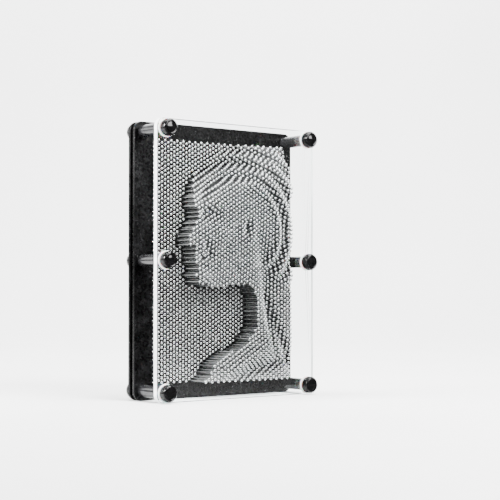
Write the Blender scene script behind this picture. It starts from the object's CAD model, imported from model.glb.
import math

import bmesh
import bpy
import numpy as np
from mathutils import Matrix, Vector


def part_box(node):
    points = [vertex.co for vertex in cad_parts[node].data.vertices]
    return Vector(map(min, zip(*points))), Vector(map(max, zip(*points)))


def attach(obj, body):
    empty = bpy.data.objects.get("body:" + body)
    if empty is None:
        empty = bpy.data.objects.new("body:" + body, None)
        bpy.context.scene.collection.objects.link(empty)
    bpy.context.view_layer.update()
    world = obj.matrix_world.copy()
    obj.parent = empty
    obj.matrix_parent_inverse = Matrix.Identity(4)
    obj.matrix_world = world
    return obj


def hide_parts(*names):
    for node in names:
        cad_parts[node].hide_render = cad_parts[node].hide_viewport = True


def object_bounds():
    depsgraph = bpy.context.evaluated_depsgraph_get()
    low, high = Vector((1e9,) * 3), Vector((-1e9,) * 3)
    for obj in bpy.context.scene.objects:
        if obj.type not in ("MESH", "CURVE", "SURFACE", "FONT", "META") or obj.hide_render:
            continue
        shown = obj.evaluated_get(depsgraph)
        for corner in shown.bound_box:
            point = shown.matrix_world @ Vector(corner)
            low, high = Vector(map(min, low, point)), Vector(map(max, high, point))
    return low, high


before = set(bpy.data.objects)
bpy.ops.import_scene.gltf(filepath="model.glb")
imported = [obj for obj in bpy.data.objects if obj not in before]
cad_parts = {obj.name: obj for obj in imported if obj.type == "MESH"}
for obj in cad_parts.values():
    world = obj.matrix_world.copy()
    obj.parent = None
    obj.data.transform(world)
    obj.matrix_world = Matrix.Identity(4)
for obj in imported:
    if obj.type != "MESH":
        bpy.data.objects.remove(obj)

cad_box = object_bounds()

# ---- Clear cover -----------------------------------------------------------------------------
# A sheet of cast acrylic, laser cut with rounded corners and six bores for the tie rods.
# Its faces are polished, and its cut edges are softly frosted and gather light.

SHEET_CORNER_R = 0.006
SHEET_CORNER_STEPS = 12
BORE_R = 0.0018
BORE_SIDES = 32
SHEET_EDGE_BEVEL = 0.00035
BEVEL_FROM = math.radians(40)
ACRYLIC_IOR = 1.49
ACRYLIC_CLEAR = (0.97, 0.99, 0.99)
CUT_EDGE_PALE = (0.80, 0.82, 0.82)
CUT_EDGE_GLOW = (0.93, 0.97, 0.98)
ACRYLIC_SHADOW = (0.95, 0.97, 0.97)
CUT_EDGE_SHADOW = (0.90, 0.93, 0.93)
PLACES = [f"{row}_{side}" for side in ("left", "right") for row in ("top", "middle", "bottom")]


def new_finish(name, colour, metallic=0.0, roughness=0.5):
    """A material with its Principled shader set to a finish's plain values."""
    finish = bpy.data.materials.new(name)
    finish.use_nodes = True
    shader = finish.node_tree.nodes["Principled BSDF"]
    shader.inputs["Base Color"].default_value = (*colour, 1)
    shader.inputs["Metallic"].default_value = metallic
    shader.inputs["Roughness"].default_value = roughness
    return finish, finish.node_tree, shader


def grain(tree, scale, detail=4.0, stretch=(1, 1, 1)):
    """Noise fixed to the piece, as a value from 0 to 1."""
    place = tree.nodes.new("ShaderNodeTexCoord")
    mapping = tree.nodes.new("ShaderNodeMapping")
    mapping.inputs["Scale"].default_value = stretch
    noise = tree.nodes.new("ShaderNodeTexNoise")
    noise.inputs["Scale"].default_value = scale
    noise.inputs["Detail"].default_value = detail
    tree.links.new(place.outputs["Object"], mapping.inputs["Vector"])
    tree.links.new(mapping.outputs["Vector"], noise.inputs["Vector"])
    return noise.outputs["Fac"]


def spread(tree, value, low, high, start=0.3, end=0.7):
    """Maps the middle of a noise value onto the range from low to high."""
    mapped = tree.nodes.new("ShaderNodeMapRange")
    mapped.inputs["From Min"].default_value = start
    mapped.inputs["From Max"].default_value = end
    mapped.inputs["To Min"].default_value = low
    mapped.inputs["To Max"].default_value = high
    tree.links.new(value, mapped.inputs["Value"])
    return mapped.outputs["Result"]


def tint(tree, shader, value, dark, light):
    """Drives the base colour between two shades by a value from 0 to 1."""
    mix = tree.nodes.new("ShaderNodeMix")
    mix.data_type = "RGBA"
    mix.inputs["A"].default_value = (*dark, 1)
    mix.inputs["B"].default_value = (*light, 1)
    tree.links.new(value, mix.inputs["Factor"])
    tree.links.new(mix.outputs["Result"], shader.inputs["Base Color"])


def relief(tree, shader, value, distance, strength=1.0):
    """Raises the surface by a value from 0 to 1, over the given distance in metres."""
    bump = tree.nodes.new("ShaderNodeBump")
    bump.inputs["Distance"].default_value = distance
    bump.inputs["Strength"].default_value = strength
    tree.links.new(value, bump.inputs["Height"])
    tree.links.new(bump.outputs["Normal"], shader.inputs["Normal"])


def let_lamps_through(finish, shadow):
    """Lets light pass a clear piece, which then casts a shadow of the given pale colour."""
    tree = finish.node_tree
    shader = tree.nodes["Principled BSDF"]
    output = tree.nodes["Material Output"]
    path = tree.nodes.new("ShaderNodeLightPath")
    gate = tree.nodes.new("ShaderNodeMixShader")
    through = tree.nodes.new("ShaderNodeBsdfTransparent")
    through.inputs["Color"].default_value = (*shadow, 1)
    tree.links.new(path.outputs["Is Shadow Ray"], gate.inputs["Fac"])
    tree.links.new(shader.outputs["BSDF"], gate.inputs[1])
    tree.links.new(through.outputs["BSDF"], gate.inputs[2])
    tree.links.new(gate.outputs["Shader"], output.inputs["Surface"])


def centre_of(node):
    """X and Z of the middle of a CAD node."""
    low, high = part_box(node)
    return (low.x + high.x) / 2, (low.z + high.z) / 2


def circle(x, z, radius, count):
    """Points round a circle in the X-Z plane."""
    turns = [2 * math.pi * i / count for i in range(count)]
    return [(x + radius * math.cos(a), z + radius * math.sin(a)) for a in turns]


def rounded_outline(low, high, radius, steps):
    """The outline of a sheet with rounded corners, from its box's corners."""
    outline = []
    corners = (
        (high.x - radius, low.z + radius, -90), (high.x - radius, high.z - radius, 0),
        (low.x + radius, high.z - radius, 90), (low.x + radius, low.z + radius, 180),
    )
    for x, z, start in corners:
        for step in range(steps + 1):
            angle = math.radians(start + 90 * step / steps)
            outline.append((x + radius * math.cos(angle), z + radius * math.sin(angle)))
    return outline


def flat_sheet(loops, y):
    """A flat mesh at y that faces the back, with the first loop outside and the others as holes."""
    bm = bmesh.new()
    edges = []
    for loop in loops:
        corners = [bm.verts.new((x, y, z)) for x, z in loop]
        for i, corner in enumerate(corners):
            edges.append(bm.edges.new((corner, corners[(i + 1) % len(corners)])))
    bmesh.ops.triangle_fill(bm, edges=edges, use_beauty=True)
    bmesh.ops.recalc_face_normals(bm, faces=bm.faces)
    bm.normal_update()
    if bm.faces[:][0].normal.y < 0:
        bmesh.ops.reverse_faces(bm, faces=bm.faces)
    return bm


def finished(name, mesh, *finishes, angle=30):
    """A piece with its finishes, shaded smooth up to the given angle."""
    for finish in finishes:
        mesh.materials.append(finish)
    mesh.shade_smooth()
    mesh.set_sharp_from_angle(angle=math.radians(angle))
    piece = bpy.data.objects.new(name, mesh)
    bpy.context.scene.collection.objects.link(piece)
    return piece


def mesh_of(name, bm):
    """Keeps a bmesh as a mesh with its faces pointing out."""
    bmesh.ops.recalc_face_normals(bm, faces=bm.faces)
    mesh = bpy.data.meshes.new(name)
    bm.to_mesh(mesh)
    bm.free()
    return mesh


def soften_edges(piece, width, segments=2, by_weight=False):
    """Breaks the piece's sharp edges by the given width."""
    bevel = piece.modifiers.new("broken_edges", "BEVEL")
    bevel.width = width
    bevel.segments = segments
    bevel.limit_method = "WEIGHT" if by_weight else "ANGLE"
    bevel.angle_limit = BEVEL_FROM
    bevel.use_clamp_overlap = False
    bevel.miter_outer = "MITER_ARC"


polished, tree, shader = new_finish("polished_acrylic", ACRYLIC_CLEAR, roughness=0.0)
shader.inputs["Transmission Weight"].default_value = 1.0
shader.inputs["IOR"].default_value = ACRYLIC_IOR
wear = spread(tree, grain(tree, 90, detail=6, stretch=(1, 1, 5)), 0.0, 0.03, 0.5, 0.75)
tree.links.new(wear, shader.inputs["Roughness"])
let_lamps_through(polished, ACRYLIC_SHADOW)

cut_edge, tree, shader = new_finish("cut_acrylic_edge", CUT_EDGE_PALE, roughness=0.28)
shader.inputs["Transmission Weight"].default_value = 0.3
shader.inputs["IOR"].default_value = ACRYLIC_IOR
shader.inputs["Emission Color"].default_value = (*CUT_EDGE_GLOW, 1)
shader.inputs["Emission Strength"].default_value = 0.04
cut_lines = grain(tree, 260, detail=3, stretch=(1, 8, 1))
relief(tree, shader, cut_lines, 0.0002, 0.35)
let_lamps_through(cut_edge, CUT_EDGE_SHADOW)

cover_low, cover_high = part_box("front_cover")
cover_loops = [rounded_outline(cover_low, cover_high, SHEET_CORNER_R, SHEET_CORNER_STEPS)]
cover_loops += [circle(*centre_of(f"tie_rod_{place}"), BORE_R, BORE_SIDES) for place in PLACES]
bm = flat_sheet(cover_loops, cover_low.y)
raised = bmesh.ops.extrude_face_region(bm, geom=bm.faces[:])["geom"]
moved = [v for v in raised if isinstance(v, bmesh.types.BMVert)]
bmesh.ops.translate(bm, verts=moved, vec=(0, cover_high.y - cover_low.y, 0))
bm.normal_update()
for face in bm.faces:
    face.material_index = 0 if abs(face.normal.y) > 0.5 else 1
cover = finished("clear_cover_sheet", mesh_of("clear_cover_sheet", bm), polished, cut_edge)
soften_edges(cover, SHEET_EDGE_BEVEL)
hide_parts("front_cover")
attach(cover, "frame")

# ---- Pin plates ------------------------------------------------------------------------------
# Two black moulded sheets close behind each other, drilled all over in staggered columns so that
# each pin is guided twice. They stand on the same six fixings as the cover.

PINS_ACROSS = 14
PINS_DOWN = 8
BANK_COLUMNS = 3
BANK_ROWS = 7
GAP = 0.0003
HOLE_R = 0.00070
HOLE_SIDES = 10
PLATE_CORNER_STEPS = 10
PLATE_BORE_SIDES = 24
PLATE_EDGE_BEVEL = 0.0003
SAME_POINT = 2e-5
PLATE_DARK = (0.0002, 0.0002, 0.0002)
PLATE_SMUDGE = (0.0036, 0.0036, 0.0037)
COUNTS = ("Columns", "Rows", "Count", "Seed")

first_low, first_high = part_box("pin_bank_1_1")
last_low, last_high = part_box(f"pin_bank_{BANK_ROWS}_{BANK_COLUMNS}")
field_low = Vector((first_low.x - GAP / 2, 0, last_low.z - GAP / 2))
field_high = Vector((last_high.x + GAP / 2, 0, first_high.z + GAP / 2))
columns = BANK_COLUMNS * PINS_ACROSS
rows = BANK_ROWS * PINS_DOWN
column_step = (field_high.x - field_low.x) / columns
pitch = (field_high.z - field_low.z) / rows


def new_tree(name, sizes):
    """A Geometry Nodes tree with a geometry, a finish and named sizes as its inputs."""
    tree = bpy.data.node_groups.new(name, "GeometryNodeTree")
    tree.interface.new_socket("Geometry", in_out="INPUT", socket_type="NodeSocketGeometry")
    for size in sizes:
        kind = "NodeSocketInt" if size in COUNTS else "NodeSocketFloat"
        tree.interface.new_socket(size, in_out="INPUT", socket_type=kind)
    tree.interface.new_socket("Finish", in_out="INPUT", socket_type="NodeSocketMaterial")
    tree.interface.new_socket("Geometry", in_out="OUTPUT", socket_type="NodeSocketGeometry")
    return tree, tree.nodes.new("NodeGroupInput").outputs


def add_node(tree, kind, inputs, **settings):
    """Adds a node, and links or sets each of its inputs by its number or name."""
    node = tree.nodes.new(kind)
    for setting, value in settings.items():
        setattr(node, setting, value)
    for socket, value in inputs.items():
        if isinstance(value, bpy.types.NodeSocket):
            tree.links.new(value, node.inputs[socket])
        else:
            node.inputs[socket].default_value = value
    return node.outputs


def maths(tree, operation, first, second):
    """One sum on two values."""
    return add_node(tree, "ShaderNodeMath", {0: first, 1: second}, operation=operation)[0]


def joined(tree, *parts):
    """Several geometries as one."""
    join = tree.nodes.new("GeometryNodeJoinGeometry")
    for part in parts:
        tree.links.new(part, join.inputs[0])
    return join.outputs[0]


def end_tree(tree, geometry, finish):
    """Ends a tree in real geometry with its finish on."""
    real = add_node(tree, "GeometryNodeRealizeInstances", {"Geometry": geometry})[0]
    done = add_node(tree, "GeometryNodeSetMaterial", {"Geometry": real, "Material": finish})[0]
    tree.links.new(done, tree.nodes.new("NodeGroupOutput").inputs[0])


def grown(name, base, tree, **values):
    """Runs a tree on a base mesh and keeps what it makes as a plain mesh."""
    source = bpy.data.objects.new(name + "_source", base)
    modifier = source.modifiers.new("grow", "NODES")
    modifier.node_group = tree
    for item in tree.interface.items_tree:
        wanted = item.name.lower().replace(" ", "_")
        if item.in_out == "INPUT" and wanted in values:
            modifier[item.identifier] = values[wanted]
    bpy.context.scene.collection.objects.link(source)
    evaluated = source.evaluated_get(bpy.context.evaluated_depsgraph_get())
    mesh = bpy.data.meshes.new_from_object(evaluated)
    mesh.name = name
    bpy.data.objects.remove(source)
    return mesh


def index_switch(tree, index, values, data_type):
    """Gives each point the value of its own place in a list."""
    node = tree.nodes.new("GeometryNodeIndexSwitch")
    node.data_type = data_type
    while len(node.index_switch_items) < len(values):
        node.index_switch_items.new()
    tree.links.new(index, node.inputs["Index"])
    for i, value in enumerate(values):
        if isinstance(value, bpy.types.NodeSocket):
            tree.links.new(value, node.inputs[str(i)])
        else:
            node.inputs[str(i)].default_value = value
    return node.outputs[0]


def perforation_tree():
    """Fills a sheet's field with drilled cells in staggered columns, then thickens it."""
    sizes = ("Columns", "Rows", "Column Step", "Pitch", "Hole Radius", "Centre X", "Centre Z",
             "Plate Y", "Thickness")
    tree, given = new_tree("drilled_plate", sizes)
    index = add_node(tree, "GeometryNodeInputIndex", {})[0]
    half_step = maths(tree, "MULTIPLY", given["Column Step"], 0.5)
    half_pitch = maths(tree, "MULTIPLY", given["Pitch"], 0.5)
    corners = []
    for side, level in ((1, 0), (1, 1), (-1, 1), (-1, 0), (-1, -1), (1, -1)):
        x = maths(tree, "MULTIPLY", half_step, side)
        y = maths(tree, "MULTIPLY", half_pitch, level)
        corners.append(add_node(tree, "ShaderNodeCombineXYZ", {"X": x, "Y": y})[0])
    six = add_node(tree, "GeometryNodeMeshCircle", {"Vertices": 6, "Radius": 1.0})[0]
    place = index_switch(tree, index, corners, "VECTOR")
    cell = add_node(tree, "GeometryNodeSetPosition", {"Geometry": six, "Position": place})[0]
    cell = add_node(tree, "GeometryNodeMeshToCurve", {"Mesh": cell})[0]
    hole = add_node(tree, "GeometryNodeCurvePrimitiveCircle", {
        "Resolution": HOLE_SIDES, "Radius": given["Hole Radius"],
    })[0]
    drilled = add_node(tree, "GeometryNodeFillCurve", {"Curve": joined(tree, cell, hole)})[0]
    drilled = add_node(
        tree, "GeometryNodeTransform", {"Geometry": drilled, "Rotation": (-math.pi / 2, 0, 0)},
    )[0]
    steps_across = maths(tree, "SUBTRACT", given["Columns"], 1)
    steps_up = maths(tree, "SUBTRACT", given["Rows"], 1)
    width = maths(tree, "MULTIPLY", steps_across, given["Column Step"])
    height = maths(tree, "MULTIPLY", steps_up, given["Pitch"])
    grid = add_node(tree, "GeometryNodeMeshGrid", {
        "Size X": width, "Size Y": height,
        "Vertices X": given["Columns"], "Vertices Y": given["Rows"],
    })[0]
    past = maths(tree, "ADD", index, 0.5)
    column = maths(tree, "FLOOR", maths(tree, "DIVIDE", past, given["Rows"]), 0)
    odd = maths(tree, "SUBTRACT", maths(tree, "MODULO", column, 2), 0.5)
    lift = maths(tree, "MULTIPLY", odd, half_pitch)
    shift = add_node(tree, "ShaderNodeCombineXYZ", {
        "X": given["Centre X"], "Y": given["Plate Y"],
        "Z": maths(tree, "ADD", given["Centre Z"], lift),
    })[0]
    grid = add_node(
        tree, "GeometryNodeTransform", {"Geometry": grid, "Rotation": (-math.pi / 2, 0, 0)},
    )[0]
    points = add_node(tree, "GeometryNodeSetPosition", {"Geometry": grid, "Offset": shift})[0]
    cells = add_node(tree, "GeometryNodeInstanceOnPoints", {
        "Points": points, "Instance": drilled,
    })[0]
    cells = add_node(tree, "GeometryNodeRealizeInstances", {"Geometry": cells})[0]
    sheet = joined(tree, given["Geometry"], cells)
    sheet = add_node(tree, "GeometryNodeMergeByDistance", {
        "Geometry": sheet, "Distance": SAME_POINT,
    })[0]
    along = add_node(tree, "ShaderNodeCombineXYZ", {"Y": given["Thickness"]})[0]
    body = add_node(tree, "GeometryNodeExtrudeMesh", {
        "Mesh": sheet, "Offset": along, "Offset Scale": 1.0, "Individual": False,
    })[0]
    front = add_node(tree, "GeometryNodeFlipFaces", {"Mesh": sheet})[0]
    closed = joined(tree, body, front)
    closed = add_node(tree, "GeometryNodeMergeByDistance", {
        "Geometry": closed, "Distance": SAME_POINT,
    })[0]
    end_tree(tree, closed, given["Finish"])
    return tree


def field_edge():
    """The stepped outline of the drilled cells, which the plate's plain margin meets."""
    half = pitch / 2

    def lift(column):
        return half / 2 if column % 2 else -half / 2

    bottom = []
    top = []
    for column in range(columns):
        left = field_low.x + column * column_step
        bottom.append((left, field_low.z + lift(column)))
        bottom.append((left + column_step, field_low.z + lift(column)))
        top.append((left, field_high.z + lift(column)))
        top.append((left + column_step, field_high.z + lift(column)))
    first = field_low.z + lift(0)
    last = field_low.z + lift(columns - 1)
    right = [(field_high.x, last + half * i) for i in range(1, 2 * rows)]
    left = [(field_low.x, first + half * i) for i in range(1, 2 * rows)]
    return bottom + right + top[::-1] + left[::-1]


moulded, tree, shader = new_finish("moulded_black_plate", (0.003, 0.003, 0.003), roughness=0.4)
shader.inputs["Specular IOR Level"].default_value = 0.09
cloud = grain(tree, 110, detail=9)
tint(tree, shader, spread(tree, cloud, 0, 1, 0.42, 0.72), PLATE_DARK, PLATE_SMUDGE)
tree.links.new(spread(tree, grain(tree, 420, detail=6), 0.22, 0.34), shader.inputs["Roughness"])
relief(tree, shader, grain(tree, 700, detail=3), 0.00004, 0.2)

drilled_plate = perforation_tree()
for node_name, plate_name in (
    ("front_pin_plate", "front_pin_screen"),
    ("rear_pin_plate", "rear_pin_screen"),
):
    low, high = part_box(node_name)
    outline = rounded_outline(low, high, SHEET_CORNER_R, PLATE_CORNER_STEPS)
    bores = [circle(*centre_of(f"tie_rod_{place}"), BORE_R, PLATE_BORE_SIDES) for place in PLACES]
    bm = flat_sheet([outline, *bores, field_edge()], low.y)
    margin = bpy.data.meshes.new(plate_name + "_margin")
    bm.to_mesh(margin)
    bm.free()
    mesh = grown(
        plate_name, margin, drilled_plate, columns=columns, rows=rows, column_step=column_step,
        pitch=pitch, hole_radius=HOLE_R, centre_x=(field_low.x + field_high.x) / 2,
        centre_z=(field_low.z + field_high.z) / 2, plate_y=low.y, thickness=high.y - low.y,
        finish=moulded,
    )
    plate = finished(plate_name, mesh)
    rim = {(round(x, 6), round(z, 6)) for x, z in outline}
    weights = mesh.attributes.new("bevel_weight_edge", "FLOAT", "EDGE")
    on_rim = [(round(v.co.x, 6), round(v.co.z, 6)) in rim for v in mesh.vertices]
    for edge in mesh.edges:
        a, b = edge.vertices
        level = abs(mesh.vertices[a].co.y - mesh.vertices[b].co.y) < 1e-6
        if on_rim[a] and on_rim[b] and level:
            weights.data[edge.index].value = 1.0
    soften_edges(plate, PLATE_EDGE_BEVEL, by_weight=True)
    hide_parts(node_name)
    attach(plate, "frame")

# ---- Pins ------------------------------------------------------------------------------------
# About two thousand three hundred headed pins of plated steel wire, loose in their holes. The
# pins stand where they were last pushed, and show a head in profile, with its neck and shoulder.

PIN_HEAD_T = 0.0012
PIN_HEAD_R = 0.00118
PIN_SHANK_R = 0.0005
PIN_SPARE = 0.0008
PIN_SIDES = 8
SHANK_STATIONS = 3
PIN_WOBBLE = math.radians(0.15)
LOW_COLUMN_LIFT = 0.25
STAGGER = 0.5
SHAFT_TONES = (0.17, 0.33)
HEAD_TONES = (0.70, 0.96)
HEAD_ROUGHNESS = 0.25
VIEW_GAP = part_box("front_pin_plate")[0].y - cover_high.y
TRAVEL = VIEW_GAP - PIN_HEAD_T - 2 * GAP
PIN_REST_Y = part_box("front_pin_plate")[0].y - GAP
PIN_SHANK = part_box("rear_pin_plate")[1].y + TRAVEL + PIN_SPARE - PIN_REST_Y

# The impression is drawn on a field this many units high, in units from the field's centre
FIGURE_HEIGHT = 176.4
OUTLINE = (
    (26, 100), (4, 86), (-14, 75), (-25, 62), (-30.5, 50), (-32, 41), (-30, 34.5), (-34.5, 24),
    (-39.5, 15.5), (-37, 11.5), (-32, 10), (-34, 6), (-31.5, 2.8), (-33.5, -1), (-30.5, -5.5),
    (-32, -11.5), (-27, -17), (-12, -19), (6, -17), (20, -20), (25, -35), (23, -50), (14, -60.5),
    (1, -67), (-11, -72), (-17.5, -80), (-19, -100), (120, -100), (120, 100),
)
OUTLINE_STEPS = 6
EDGE_SHARE = 0.72
BODY_SHARE = 0.82
EDGE_START = 0.5
EDGE_CURVE = 1.5
BODY_ROUND = 17.0
HIGHEST_SHARE = 0.90
# The crown slopes down to the field without a step, up to a line short of the back of the head
CROWN_ROUND = 42.0
CROWN_FROM = 38.0
CROWN_TO = 72.0
CROWN_BACK = 60.0
CROWN_BACK_FADE = 30.0
# Soft dips and swells on the figure: centre, half width, half height, turn in degrees, share.
# They fade out this far from the figure's edge
SWELL_FADE = 5.0
SWELLS = (
    (-21.0, 34.0, 6.0, 3.6, 0, -0.24),
    (-19.5, 33.0, 3.0, 1.9, 0, 0.11),
    (-14.0, 40.5, 10.0, 2.4, -6, 0.07),
    (-11.0, 20.0, 9.0, 6.5, 15, 0.08),
    (-27.0, 13.0, 3.4, 3.0, 0, 0.05),
    (-22.0, 9.0, 1.8, 8.0, 24, -0.10),
    (-25.5, 2.8, 6.0, 1.3, 6, -0.15),
    (-25.0, -11.0, 6.0, 4.5, 0, 0.06),
    (-4.0, -24.0, 24.0, 5.0, -4, -0.26),
    (16.0, 24.0, 5.6, 10.0, -12, 0.10),
    (15.0, 25.0, 3.0, 6.2, -12, -0.24),
    (34.0, -6.0, 7.0, 26.0, 14, -0.18),
    (18.0, -70.0, 30.0, 7.0, 20, 0.06),
    (37.0, -44.0, 3.6, 24.0, 10, -0.20),
    (48.0, -60.0, 3.2, 28.0, 22, -0.16),
    (24.0, -80.0, 28.0, 3.6, 14, -0.18),
    (8.0, -76.0, 18.0, 3.0, 26, 0.06),
)
# Combed hair: ridges that run round the ear, behind the hairline and above the nape
HAIR_CENTRE = (8.0, 22.0)
HAIR_START = 30.0
HAIR_FADE = 9.0
HAIR_RIDGE = 11.0
HAIR_SHARE = 0.09
HAIRLINE = -26.0
HAIRLINE_SLOPE = 0.1
HAIRLINE_FADE = 14.0
NAPE = 6.0
NAPE_SLOPE = 0.6
NAPE_FADE = 18.0
# The field's top right corner falls away, because the back of the head is round
CORNER_CENTRE = (66.0, 104.0)
CORNER_FADE = 46.0


def smooth(share):
    """Eases from 0 to 1 as share goes from 0 to 1."""
    share = np.clip(share, 0, 1)
    return share * share * (3 - 2 * share)


def smooth_outline(points, steps):
    """A closed Catmull-Rom curve through the points, as an array of its own points."""
    knots = np.array(points, float)
    before = np.roll(knots, 1, axis=0)
    after = np.roll(knots, -1, axis=0)
    beyond = np.roll(knots, -2, axis=0)
    curve = []
    for step in range(steps):
        t = step / steps
        curve.append(0.5 * (
            2 * knots
            + (after - before) * t
            + (2 * before - 5 * knots + 4 * after - beyond) * t ** 2
            + (3 * knots - before - 3 * after + beyond) * t ** 3
        ))
    return np.stack(curve, axis=1).reshape(-1, 2)


FIGURE = smooth_outline(OUTLINE, OUTLINE_STEPS)


def depths_inside(points):
    """How far each point is inside the figure's outline, or 0 outside it."""
    start = FIGURE
    run = np.roll(FIGURE, -1, axis=0) - start
    offset = points[:, None] - start
    share = np.clip((offset * run).sum(2) / (run * run).sum(1), 0, 1)
    nearest = np.linalg.norm(offset - share[:, :, None] * run, axis=2).min(1)
    up = points[:, 1][:, None]
    crosses = (start[:, 1] > up) != (start[:, 1] + run[:, 1] > up)
    rise = np.where(run[:, 1] == 0, 1e-9, run[:, 1])
    crossing = start[:, 0] + (up - start[:, 1]) * run[:, 0] / rise
    inside = np.count_nonzero(crosses & (crossing > points[:, 0][:, None]), axis=1) % 2
    return np.where(inside == 1, nearest, 0.0)


def pushes(xs, zs):
    """How far the pin at each x, z stands forward of the front pin plate."""
    unit = (field_high.z - field_low.z) / FIGURE_HEIGHT
    across = xs / unit
    up = (zs - (field_low.z + field_high.z) / 2) / unit
    depth = depths_inside(np.stack((across, up), axis=1))
    crown = smooth((up - CROWN_FROM) / (CROWN_TO - CROWN_FROM))
    crown = crown * smooth((CROWN_BACK - across) / CROWN_BACK_FADE)
    edge = EDGE_SHARE * (1 - crown)
    width = BODY_ROUND + (CROWN_ROUND - BODY_ROUND) * crown
    steep = smooth(EDGE_START + (1 - EDGE_START) * depth / width) ** EDGE_CURVE
    height = edge + (BODY_SHARE - edge) * steep
    gentle = edge + (BODY_SHARE - edge) * smooth(depth / width)
    height = np.where(crown > 0, np.minimum(height, gentle), height)
    fullness = smooth(depth / SWELL_FADE)
    for centre_x, centre_z, half_w, half_h, turn, share in SWELLS:
        angle = math.radians(turn)
        dx = across - centre_x
        dz = up - centre_z
        along = (dx * math.cos(angle) + dz * math.sin(angle)) / half_w
        aside = (dz * math.cos(angle) - dx * math.sin(angle)) / half_h
        height = height + fullness * share * np.exp(-along * along - aside * aside)
    radius = np.hypot(across - HAIR_CENTRE[0], up - HAIR_CENTRE[1])
    behind = smooth((radius - HAIR_START) / HAIR_FADE)
    behind = behind * smooth((across - HAIRLINE + up * HAIRLINE_SLOPE) / HAIRLINE_FADE)
    behind = behind * smooth((up - NAPE + across * NAPE_SLOPE) / NAPE_FADE)
    height = height + behind * fullness * HAIR_SHARE * np.sin(2 * math.pi * radius / HAIR_RIDGE)
    corner = np.hypot(across - CORNER_CENTRE[0], up - CORNER_CENTRE[1])
    height = np.clip(height * smooth(corner / CORNER_FADE), 0, HIGHEST_SHARE)
    return np.where(depth > 0, TRAVEL * height, 0.0)


def pin_tree():
    """Sets a headed pin on each point: one turned body from the cropped tip to the domed head."""
    sizes = ("Head Radius", "Head Height", "Shank Radius", "Shank Length", "Wobble", "Seed")
    tree, given = new_tree("headed_pins", sizes)
    stations = (
        ("Shank Length", 0.9995, "Shank Radius", 0.45),
        ("Shank Length", 0.982, "Shank Radius", 1.0),
        ("Shank Length", 0.0005, "Shank Radius", 1.0),
        ("Head Height", 0.0, "Head Radius", 0.93),
        ("Head Height", -0.35, "Head Radius", 1.0),
        ("Head Height", -0.66, "Head Radius", 0.90),
        ("Head Height", -0.86, "Head Radius", 0.66),
        ("Head Height", -0.97, "Head Radius", 0.34),
    )
    index = add_node(tree, "GeometryNodeInputIndex", {})[0]
    places = []
    radii = []
    for length, along, radius, share in stations:
        y = maths(tree, "MULTIPLY", given[length], along)
        places.append(add_node(tree, "ShaderNodeCombineXYZ", {"Y": y})[0])
        radii.append(maths(tree, "MULTIPLY", given[radius], share))
    line = add_node(tree, "GeometryNodeMeshLine", {"Count": len(stations)})[0]
    line = add_node(tree, "GeometryNodeSetPosition", {
        "Geometry": line, "Position": index_switch(tree, index, places, "VECTOR"),
    })[0]
    on_head = maths(tree, "GREATER_THAN", index, SHANK_STATIONS - 0.5)
    line = add_node(
        tree, "GeometryNodeStoreNamedAttribute",
        {"Geometry": line, "Name": "pin_head", "Value": on_head}, domain="POINT", data_type="FLOAT",
    )[0]
    axis = add_node(tree, "GeometryNodeMeshToCurve", {"Mesh": line})[0]
    ring = add_node(
        tree, "GeometryNodeCurvePrimitiveCircle", {"Resolution": PIN_SIDES, "Radius": 1.0},
    )[0]
    pin = add_node(tree, "GeometryNodeCurveToMesh", {
        "Curve": axis, "Profile Curve": ring, "Fill Caps": True,
        "Scale": index_switch(tree, index, radii, "FLOAT"),
    })[0]
    lean = maths(tree, "MULTIPLY", given["Wobble"], -1)
    low = add_node(tree, "ShaderNodeCombineXYZ", {"X": lean, "Y": -math.pi, "Z": lean})[0]
    high = add_node(
        tree, "ShaderNodeCombineXYZ", {"X": given["Wobble"], "Y": math.pi, "Z": given["Wobble"]},
    )[0]
    turn = add_node(
        tree, "FunctionNodeRandomValue", {0: low, 1: high, "Seed": given["Seed"]},
        data_type="FLOAT_VECTOR",
    )[0]
    pins = add_node(tree, "GeometryNodeInstanceOnPoints", {
        "Points": given["Geometry"], "Instance": pin, "Rotation": turn,
    })[0]
    tone = add_node(
        tree, "FunctionNodeRandomValue",
        {2: 0.0, 3: 1.0, "Seed": maths(tree, "ADD", given["Seed"], 1)}, data_type="FLOAT",
    )[1]
    pins = add_node(
        tree, "GeometryNodeStoreNamedAttribute",
        {"Geometry": pins, "Name": "pin_tone", "Value": tone}, domain="INSTANCE", data_type="FLOAT",
    )[0]
    end_tree(tree, pins, given["Finish"])
    return tree


plated, tree, shader = new_finish("plated_pin_steel", (0.5, 0.5, 0.5), 1.0, 0.25)
on_head = tree.nodes.new("ShaderNodeAttribute")
on_head.attribute_name = "pin_head"
tone = tree.nodes.new("ShaderNodeAttribute")
tone.attribute_name = "pin_tone"
shades = []
for dark, light in (SHAFT_TONES, HEAD_TONES):
    shade = tree.nodes.new("ShaderNodeMapRange")
    shade.inputs["To Min"].default_value = dark
    shade.inputs["To Max"].default_value = light
    tree.links.new(tone.outputs["Fac"], shade.inputs["Value"])
    shades.append(shade.outputs["Result"])
shaft_or_head = tree.nodes.new("ShaderNodeMix")
tree.links.new(on_head.outputs["Fac"], shaft_or_head.inputs["Factor"])
tree.links.new(shades[0], shaft_or_head.inputs["A"])
tree.links.new(shades[1], shaft_or_head.inputs["B"])
tree.links.new(shaft_or_head.outputs["Result"], shader.inputs["Base Color"])
drawn = spread(tree, grain(tree, 900, detail=3, stretch=(1, 0.2, 1)), 0.45, 0.55)
rough = tree.nodes.new("ShaderNodeMix")
rough.inputs["B"].default_value = HEAD_ROUGHNESS
tree.links.new(on_head.outputs["Fac"], rough.inputs["Factor"])
tree.links.new(drawn, rough.inputs["A"])
tree.links.new(rough.outputs["Result"], shader.inputs["Roughness"])

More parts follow.
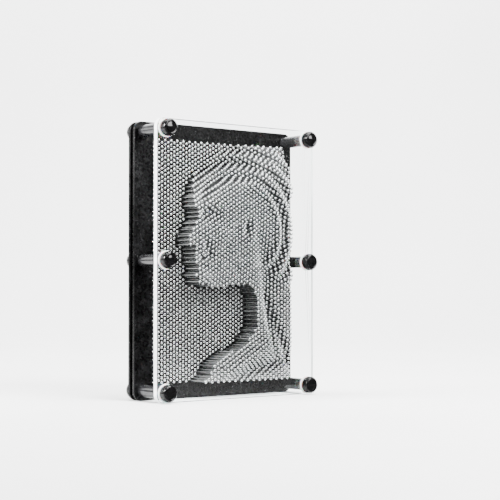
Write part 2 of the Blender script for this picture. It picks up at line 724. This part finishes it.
headed_pins = pin_tree()
for row in range(BANK_ROWS):
    for column in range(BANK_COLUMNS):
        name = f"{row + 1}_{column + 1}"
        left = field_low.x + column * PINS_ACROSS * column_step
        bottom = field_high.z - (row + 1) * PINS_DOWN * pitch
        across, up = np.meshgrid(np.arange(PINS_ACROSS), np.arange(PINS_DOWN), indexing="ij")
        lift = LOW_COLUMN_LIFT + STAGGER * ((column * PINS_ACROSS + across) % 2)
        xs = (left + (across + 0.5) * column_step).ravel()
        zs = (bottom + (up + lift) * pitch).ravel()
        ys = PIN_REST_Y - pushes(xs, zs)
        points = bpy.data.meshes.new(f"pin_places_{name}")
        points.from_pydata(np.stack((xs, ys, zs), axis=1).tolist(), [], [])
        mesh = grown(
            f"pins_{name}", points, headed_pins, head_radius=PIN_HEAD_R, head_height=PIN_HEAD_T,
            shank_radius=PIN_SHANK_R, shank_length=PIN_SHANK, wobble=PIN_WOBBLE,
            seed=10 * row + column, finish=plated,
        )
        pins = finished(f"pins_{name}", mesh, angle=50)
        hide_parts(f"pin_bank_{name}")
        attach(pins, f"bank_{name}")

# ---- Posts -----------------------------------------------------------------------------------
# Six tubes of black anodised aluminium between the front pin plate and the cover, turned from
# bar with a small chamfer at each end. The tie rods run through them.

ROUND = 48
POST_CHAMFER = 0.0004
ANODISED = (0.03, 0.03, 0.032)
ANODISED_DARK = (0.003, 0.003, 0.003)
ANODISED_LIGHT = (0.012, 0.012, 0.013)


def turned(name, profile, place, finish, closed=False, segments=ROUND):
    """A piece turned about the line along Y through a fixing, from (radius, y) points."""
    x, z = centre_of(f"tie_rod_{place}")
    bm = bmesh.new()
    rings = []
    for radius, y in profile:
        if radius == 0:
            rings.append([bm.verts.new((x, y, z))] * segments)
        else:
            rings.append([bm.verts.new((px, y, pz)) for px, pz in circle(x, z, radius, segments)])
    for i in range(len(rings) if closed else len(rings) - 1):
        here = rings[i]
        there = rings[(i + 1) % len(rings)]
        for j in range(segments):
            k = (j + 1) % segments
            bm.faces.new(list(dict.fromkeys((here[j], here[k], there[k], there[j]))))
    return finished(name, mesh_of(name, bm), finish, angle=32)


def chamfered_tube(inner, outer, y0, y1, chamfer):
    """Half section of a tube with chamfered outer edges."""
    return [
        (inner, y0), (outer - chamfer, y0), (outer, y0 + chamfer),
        (outer, y1 - chamfer), (outer - chamfer, y1), (inner, y1),
    ]


anodised, tree, shader = new_finish("black_anodised_tube", ANODISED, roughness=0.2)
shader.inputs["Specular IOR Level"].default_value = 0.3
shader.inputs["Coat Weight"].default_value = 0.3
shader.inputs["Coat Roughness"].default_value = 0.06
turning = grain(tree, 700, detail=4, stretch=(1, 6, 1))
tree.links.new(spread(tree, turning, 0.14, 0.3), shader.inputs["Roughness"])
tint(tree, shader, spread(tree, grain(tree, 300), 0, 1), ANODISED_DARK, ANODISED_LIGHT)
relief(tree, shader, turning, 0.00003, 0.3)

for place in PLACES:
    low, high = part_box(f"post_{place}")
    outer = (high.x - low.x) / 2
    section = chamfered_tube(BORE_R, outer, low.y, high.y, POST_CHAMFER)
    post = turned(f"{place}_post", section, place, anodised, closed=True)
    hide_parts(f"post_{place}")
    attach(post, "frame")

# ---- Plate spacers and tie rods --------------------------------------------------------------
# Short black tubes keep the two pin plates apart. Through them, the posts and the cover runs a
# steel rod with a rolled thread on each end, which the cap and the knob are screwed onto.

SPACER_CHAMFER = 0.0002
SPACER_SIDES = 32
SPACER_DARK = (0.015, 0.015, 0.015)
SPACER_LIGHT = (0.035, 0.035, 0.036)
STEEL_DARK = (0.45, 0.45, 0.46)
STEEL_LIGHT = (0.62, 0.62, 0.63)
THREAD_PITCH = 0.0005
THREAD_TURNS = 9
THREAD_DEPTH = 0.00028
THREAD_STEPS = 16
THREAD_LEVELS = 4

spacer_black, tree, shader = new_finish("spacer_black", (0.02, 0.02, 0.02), roughness=0.5)
tint(tree, shader, spread(tree, grain(tree, 500), 0, 1), SPACER_DARK, SPACER_LIGHT)
relief(tree, shader, grain(tree, 1500), 0.00004, 0.5)

rolled_steel, tree, shader = new_finish("rolled_rod_steel", (0.56, 0.56, 0.57), 1.0, 0.3)
tree.links.new(
    spread(tree, grain(tree, 800, stretch=(1, 5, 1)), 0.22, 0.42), shader.inputs["Roughness"],
)
tint(tree, shader, spread(tree, grain(tree, 260), 0, 1), STEEL_DARK, STEEL_LIGHT)


def threaded_rod(name, place):
    """A rod whose ends carry a real helical thread, closed with flat ends."""
    low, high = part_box(f"tie_rod_{place}")
    x, z = centre_of(f"tie_rod_{place}")
    radius = (high.x - low.x) / 2
    length = high.y - low.y
    threaded = THREAD_TURNS * THREAD_PITCH
    levels = [i * THREAD_PITCH / THREAD_LEVELS for i in range(THREAD_LEVELS * THREAD_TURNS + 1)]
    levels += [length - level for level in reversed(levels)]
    bm = bmesh.new()
    rings = []
    for level in levels:
        from_end = min(level, length - level)
        runout = min(1.0, (threaded - from_end) / THREAD_PITCH)
        ring = []
        for step in range(THREAD_STEPS):
            angle = 2 * math.pi * step / THREAD_STEPS
            wave = 0.5 + 0.5 * math.cos(2 * math.pi * level / THREAD_PITCH - angle)
            r = radius - THREAD_DEPTH * wave * max(0.0, runout)
            place_x = x + r * math.cos(angle)
            place_z = z + r * math.sin(angle)
            ring.append(bm.verts.new((place_x, low.y + level, place_z)))
        rings.append(ring)
    for here, there in zip(rings, rings[1:]):
        for j in range(THREAD_STEPS):
            k = (j + 1) % THREAD_STEPS
            bm.faces.new((here[j], here[k], there[k], there[j]))
    bm.faces.new(rings[0])
    bm.faces.new(rings[-1])
    return finished(name, mesh_of(name, bm), rolled_steel, angle=60)


for place in PLACES:
    low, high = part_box(f"plate_spacer_{place}")
    section = chamfered_tube(BORE_R, (high.x - low.x) / 2, low.y, high.y, SPACER_CHAMFER)
    spacer = turned(
        f"{place}_spacer", section, place, spacer_black, closed=True, segments=SPACER_SIDES,
    )
    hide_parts(f"plate_spacer_{place}")
    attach(spacer, "frame")
    rod = threaded_rod(f"{place}_rod", place)
    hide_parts(f"tie_rod_{place}")
    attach(rod, "frame")

# ---- Cover washers ---------------------------------------------------------------------------
# A milky nylon washer under each front cap keeps the cap from scratching the cover.

NYLON_DARK = (0.86, 0.87, 0.87)
NYLON_LIGHT = (0.96, 0.96, 0.96)
NYLON_SHADOW = (0.70, 0.72, 0.72)
WASHER_EDGE_STEPS = 6

nylon, tree, shader = new_finish("milky_nylon", (0.9, 0.91, 0.91), roughness=0.25)
shader.inputs["Transmission Weight"].default_value = 0.35
shader.inputs["Subsurface Weight"].default_value = 0.4
shader.inputs["Subsurface Scale"].default_value = 0.001
tint(tree, shader, spread(tree, grain(tree, 350), 0, 1), NYLON_DARK, NYLON_LIGHT)
relief(tree, shader, grain(tree, 900), 0.00003, 0.4)
let_lamps_through(nylon, NYLON_SHADOW)

for place in PLACES:
    low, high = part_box(f"cover_washer_{place}")
    outer = (high.x - low.x) / 2
    round_r = (high.y - low.y) / 2
    middle = (low.y + high.y) / 2
    section = [(BORE_R, low.y)]
    for step in range(WASHER_EDGE_STEPS + 1):
        angle = math.radians(-90 + 180 * step / WASHER_EDGE_STEPS)
        radius = outer - round_r + round_r * math.cos(angle)
        section.append((radius, middle + round_r * math.sin(angle)))
    section.append((BORE_R, high.y))
    washer = turned(f"{place}_washer", section, place, nylon, closed=True)
    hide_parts(f"cover_washer_{place}")
    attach(washer, "frame")

# ---- Front caps and rear knobs ---------------------------------------------------------------
# Round nuts moulded in glossy black plastic, with fine ribs round the side for the fingers, and
# a raised ring and a low dome on the face. They clamp the stack from both ends.

RIB_COUNT = 26
RIB_R = 0.00027
RIB_SIDES = 8
RIB_LENGTH_SHARE = 0.66
RIB_MIDDLE_SHARE = 0.40
# Along a rib from its middle as a share of its length, and its thickness there
RIB_STATIONS = ((-0.5, 0.2), (-0.47, 0.75), (-0.42, 1.0), (0.42, 1.0), (0.47, 0.75), (0.5, 0.2))
CAP_BORE_DEPTH = 0.0037
GLOSS_DARK = (0.0006, 0.0006, 0.0006)
GLOSS_LIGHT = (0.003, 0.003, 0.0032)
# Height above the seat as a share of the cap's, and radius as a share of the cap's
CAP_SECTION = (
    (0.00, 0.90), (0.02, 0.94), (0.09, 0.95), (0.70, 0.93), (0.80, 0.90), (0.88, 0.83),
    (0.915, 0.78), (0.925, 0.74), (0.915, 0.70), (0.875, 0.66), (0.865, 0.60), (0.885, 0.52),
    (0.925, 0.40), (0.965, 0.27), (0.99, 0.14), (1.00, 0.0),
)


def rib_tree():
    """A ring of round-ended ribs about a line along Y."""
    sizes = ("Count", "Ring Radius", "Rib Radius", "Rib Length", "Centre X", "Centre Y", "Centre Z")
    tree, given = new_tree("finger_ribs", sizes)
    ring = add_node(tree, "GeometryNodeMeshCircle", {
        "Vertices": given["Count"], "Radius": given["Ring Radius"],
    })[0]
    ring = add_node(tree, "GeometryNodeTransform", {
        "Geometry": ring, "Rotation": (math.pi / 2, 0, 0),
    })[0]
    centre = add_node(tree, "ShaderNodeCombineXYZ", {
        "X": given["Centre X"], "Y": given["Centre Y"], "Z": given["Centre Z"],
    })[0]
    ring = add_node(tree, "GeometryNodeSetPosition", {"Geometry": ring, "Offset": centre})[0]
    line = add_node(tree, "GeometryNodeMeshLine", {"Count": len(RIB_STATIONS)})[0]
    index = add_node(tree, "GeometryNodeInputIndex", {})[0]
    places = []
    radii = []
    for along, share in RIB_STATIONS:
        y = maths(tree, "MULTIPLY", given["Rib Length"], along)
        places.append(add_node(tree, "ShaderNodeCombineXYZ", {"Y": y})[0])
        radii.append(maths(tree, "MULTIPLY", given["Rib Radius"], share))
    line = add_node(tree, "GeometryNodeSetPosition", {
        "Geometry": line, "Position": index_switch(tree, index, places, "VECTOR"),
    })[0]
    axis = add_node(tree, "GeometryNodeMeshToCurve", {"Mesh": line})[0]
    profile = add_node(
        tree, "GeometryNodeCurvePrimitiveCircle", {"Resolution": RIB_SIDES, "Radius": 1.0},
    )[0]
    rib = add_node(tree, "GeometryNodeCurveToMesh", {
        "Curve": axis, "Profile Curve": profile, "Fill Caps": True,
        "Scale": index_switch(tree, index, radii, "FLOAT"),
    })[0]
    ribs = add_node(tree, "GeometryNodeInstanceOnPoints", {"Points": ring, "Instance": rib})[0]
    ribs = add_node(tree, "GeometryNodeRealizeInstances", {"Geometry": ribs})[0]
    end_tree(tree, joined(tree, given["Geometry"], ribs), given["Finish"])
    return tree


moulded_gloss, tree, shader = new_finish(
    "moulded_gloss_black", (0.012, 0.012, 0.013), roughness=0.1,
)
shader.inputs["Specular IOR Level"].default_value = 0.24
tree.links.new(spread(tree, grain(tree, 600, detail=5), 0.05, 0.14), shader.inputs["Roughness"])
tint(tree, shader, spread(tree, grain(tree, 240), 0, 1), GLOSS_DARK, GLOSS_LIGHT)
relief(tree, shader, grain(tree, 350, detail=2), 0.00005, 0.25)

finger_ribs = rib_tree()
for place in PLACES:
    for node_name, piece_name, outward in (
        (f"front_cap_{place}", f"{place}_cap", -1),
        (f"rear_knob_{place}", f"{place}_knob", 1),
    ):
        low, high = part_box(node_name)
        x, z = centre_of(node_name)
        height = high.y - low.y
        radius = (high.x - low.x) / 2
        seat = high.y if outward < 0 else low.y
        bore_end = seat + outward * CAP_BORE_DEPTH
        section = [(0, bore_end), (BORE_R, bore_end), (BORE_R, seat)]
        section += [(radius * share, seat + outward * height * rise) for rise, share in CAP_SECTION]
        body = turned(f"{piece_name}_body", section, place, moulded_gloss)
        mesh = grown(
            piece_name, body.data, finger_ribs, count=RIB_COUNT, ring_radius=radius - RIB_R,
            rib_radius=RIB_R, rib_length=height * RIB_LENGTH_SHARE, centre_x=x,
            centre_y=seat + outward * height * RIB_MIDDLE_SHARE, centre_z=z,
            finish=moulded_gloss,
        )
        bpy.data.objects.remove(body)
        nut = finished(piece_name, mesh, angle=40)
        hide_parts(node_name)
        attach(nut, "frame")

# ---- Studio ----------------------------------------------------------------------------------
# A plain pale floor that runs up into a pale wall, lit from above. A soft lamp in front gives each
# pin head its glint, and lamps on the left and behind draw bright lines along the shafts and
# posts. A flag keeps the small, strong one of them off the floor and the wall.

CAMERA_AZIMUTH = -37.5
CAMERA_ELEVATION = -1.0
CAMERA_DISTANCE = 1.00
CAMERA_LENS = 96.6
AIM_RIGHT = 0.0244
AIM_UP = 0.0087
FLOOR_FRONT = -1.9
FLOOR_HALF = 2.6
COVE_BACK = 0.9
COVE_R = 0.5
COVE_STEPS = 12
WALL_TOP = 2.4
FLOOR_DARK = (0.84, 0.84, 0.84)
FLOOR_LIGHT = (0.87, 0.87, 0.87)
CARD_DISTANCE = 0.32
CARD_HALF = 0.6
CARD_HEIGHT = 0.26
CLOTH_HALF = 0.6
CLOTH_FRONT = -0.42
CLOTH_LIFT = 0.001
CARD_DARK = (0.003, 0.003, 0.003)
CARD_LIGHT = (0.005, 0.005, 0.005)
ROOM_DIM = 0.08
ROOM_PALE = 1.6
# Name, azimuth and height in degrees, distance, width, height, power, and whether a flag is used
LAMPS = (
    ("key", 14, 36, 0.9, 0.62, 0.55, 34.0, False),
    ("side", -106, 24, 0.7, 0.4, 0.35, 9.0, False),
    ("edge", -91, 30, 0.8, 0.16, 0.16, 38.0, True),
    ("rim", -142, 18, 0.75, 0.3, 0.25, 1.1, False),
)
WALL_LAMP_WIDTH = 2.0
WALL_LAMP_HEIGHT = 0.6
WALL_LAMP_POWER = 172.0
WALL_LAMP_BACK = 0.25
WALL_LAMP_UP = 1.7
WALL_AIM_BACK = 1.3
WALL_AIM_UP = 0.3


def towards(azimuth, elevation):
    """The direction from the toy to a place, given as an azimuth from its front and a height."""
    a = math.radians(azimuth)
    e = math.radians(elevation)
    return Vector((math.sin(a) * math.cos(e), -math.cos(a) * math.cos(e), math.sin(e)))


low, high = cad_box
middle = (low + high) / 2
back = towards(CAMERA_AZIMUTH, CAMERA_ELEVATION)
away = -towards(CAMERA_AZIMUTH, 0)
right = Vector((-away.y, away.x, 0)) * -1

pale, tree, shader = new_finish("pale_floor", (0.86, 0.86, 0.86), roughness=0.8)
tint(tree, shader, spread(tree, grain(tree, 6, detail=3), 0, 1), FLOOR_DARK, FLOOR_LIGHT)

section = [(FLOOR_FRONT, 0.0)]
for step in range(COVE_STEPS + 1):
    angle = math.radians(-90 + 90 * step / COVE_STEPS)
    section.append((COVE_BACK + COVE_R * math.cos(angle), COVE_R + COVE_R * math.sin(angle)))
section.append((COVE_BACK + COVE_R, WALL_TOP))
corners = []
for side in (-FLOOR_HALF, FLOOR_HALF):
    corners += [right * side + away * along + Vector((0, 0, z)) for along, z in section]
count = len(section)
faces = [(i, count + i, count + i + 1, i + 1) for i in range(count - 1)]
cove_mesh = bpy.data.meshes.new("cove")
cove_mesh.from_pydata([tuple(corner) for corner in corners], [], faces)
cove = finished("cove", cove_mesh, pale, angle=60)


def soft_lamp(name, place, aim, width, height, power, flagged=False):
    """A soft lamp at a place, which looks at a point. A flag can keep it off the floor and wall."""
    lamp = bpy.data.lights.new(name, "AREA")
    lamp.shape = "RECTANGLE"
    lamp.size = width
    lamp.size_y = height
    lamp.energy = power
    made = bpy.data.objects.new(name, lamp)
    made.location = place
    made.rotation_mode = "QUATERNION"
    made.rotation_quaternion = (aim - place).to_track_quat("-Z", "Y")
    bpy.context.scene.collection.objects.link(made)
    if flagged:
        made.light_linking.receiver_collection = flag


flag = bpy.data.collections.new("kept_dark_by_flag")
flag.objects.link(cove)
flag.collection_objects[0].light_linking.link_state = "EXCLUDE"

for name, azimuth, elevation, distance, width, height, power, flagged in LAMPS:
    place = middle + towards(azimuth, elevation) * distance
    soft_lamp(name, place, middle, width, height, power, flagged)
place = away * WALL_LAMP_BACK + Vector((0, 0, WALL_LAMP_UP))
aim = away * WALL_AIM_BACK + Vector((0, 0, WALL_AIM_UP))
soft_lamp("wall", place, aim, WALL_LAMP_WIDTH, WALL_LAMP_HEIGHT, WALL_LAMP_POWER)

# Out of shot, a black cloth in front and a black card on the right keep the floor's glare out of
# the cover and the pin heads. Only reflections meet them
card_out = towards(-CAMERA_AZIMUTH, 0)
card_side = Vector((-card_out.y, card_out.x, 0))
corners = [
    (side * CLOTH_HALF, y, CLOTH_LIFT) for y in (low.y - GAP, CLOTH_FRONT) for side in (-1, 1)
]
corners += [
    tuple(card_out * CARD_DISTANCE + card_side * side * CARD_HALF + Vector((0, 0, z)))
    for z in (CLOTH_LIFT, CARD_HEIGHT) for side in (-1, 1)
]
card_mesh = bpy.data.meshes.new("black_cards")
card_mesh.from_pydata(corners, [], [(0, 2, 3, 1), (4, 5, 7, 6)])
card_black, tree, shader = new_finish("card_black", (0.004, 0.004, 0.004), roughness=0.9)
tint(tree, shader, grain(tree, 30), CARD_DARK, CARD_LIGHT)
path = tree.nodes.new("ShaderNodeLightPath").outputs
gate = tree.nodes.new("ShaderNodeMixShader")
tree.links.new(maths(tree, "LESS_THAN", path["Glossy Depth"], 0.5), gate.inputs["Fac"])
tree.links.new(shader.outputs["BSDF"], gate.inputs[1])
tree.links.new(tree.nodes.new("ShaderNodeBsdfTransparent").outputs["BSDF"], gate.inputs[2])
tree.links.new(gate.outputs["Shader"], tree.nodes["Material Output"].inputs["Surface"])
cards = finished("black_cards", card_mesh, card_black)
for ray in ("camera", "diffuse", "shadow", "volume_scatter"):
    setattr(cards, f"visible_{ray}", False)

world = bpy.data.worlds.new("dim_room")
world.use_nodes = True
tree = world.node_tree
background = tree.nodes["Background"]
background.inputs["Color"].default_value = (1.0, 1.0, 1.0, 1)
path = tree.nodes.new("ShaderNodeLightPath").outputs
reflections = maths(tree, "ADD", path["Diffuse Depth"], path["Glossy Depth"])
straight = maths(tree, "LESS_THAN", reflections, 0.5)
through = maths(tree, "MULTIPLY", path["Is Transmission Ray"], straight)
seen = maths(tree, "MAXIMUM", path["Is Camera Ray"], through)
tree.links.new(spread(tree, seen, ROOM_DIM, ROOM_PALE, 0.0, 1.0), background.inputs["Strength"])
bpy.context.scene.world = world

camera = bpy.data.objects.new("camera", bpy.data.cameras.new("camera"))
camera.data.lens = CAMERA_LENS
camera.location = middle + back * CAMERA_DISTANCE
aim = middle + right * AIM_RIGHT + Vector((0, 0, AIM_UP)) - camera.location
camera.rotation_mode = "QUATERNION"
camera.rotation_quaternion = aim.to_track_quat("-Z", "Y")
bpy.context.scene.collection.objects.link(camera)
bpy.context.scene.camera = camera
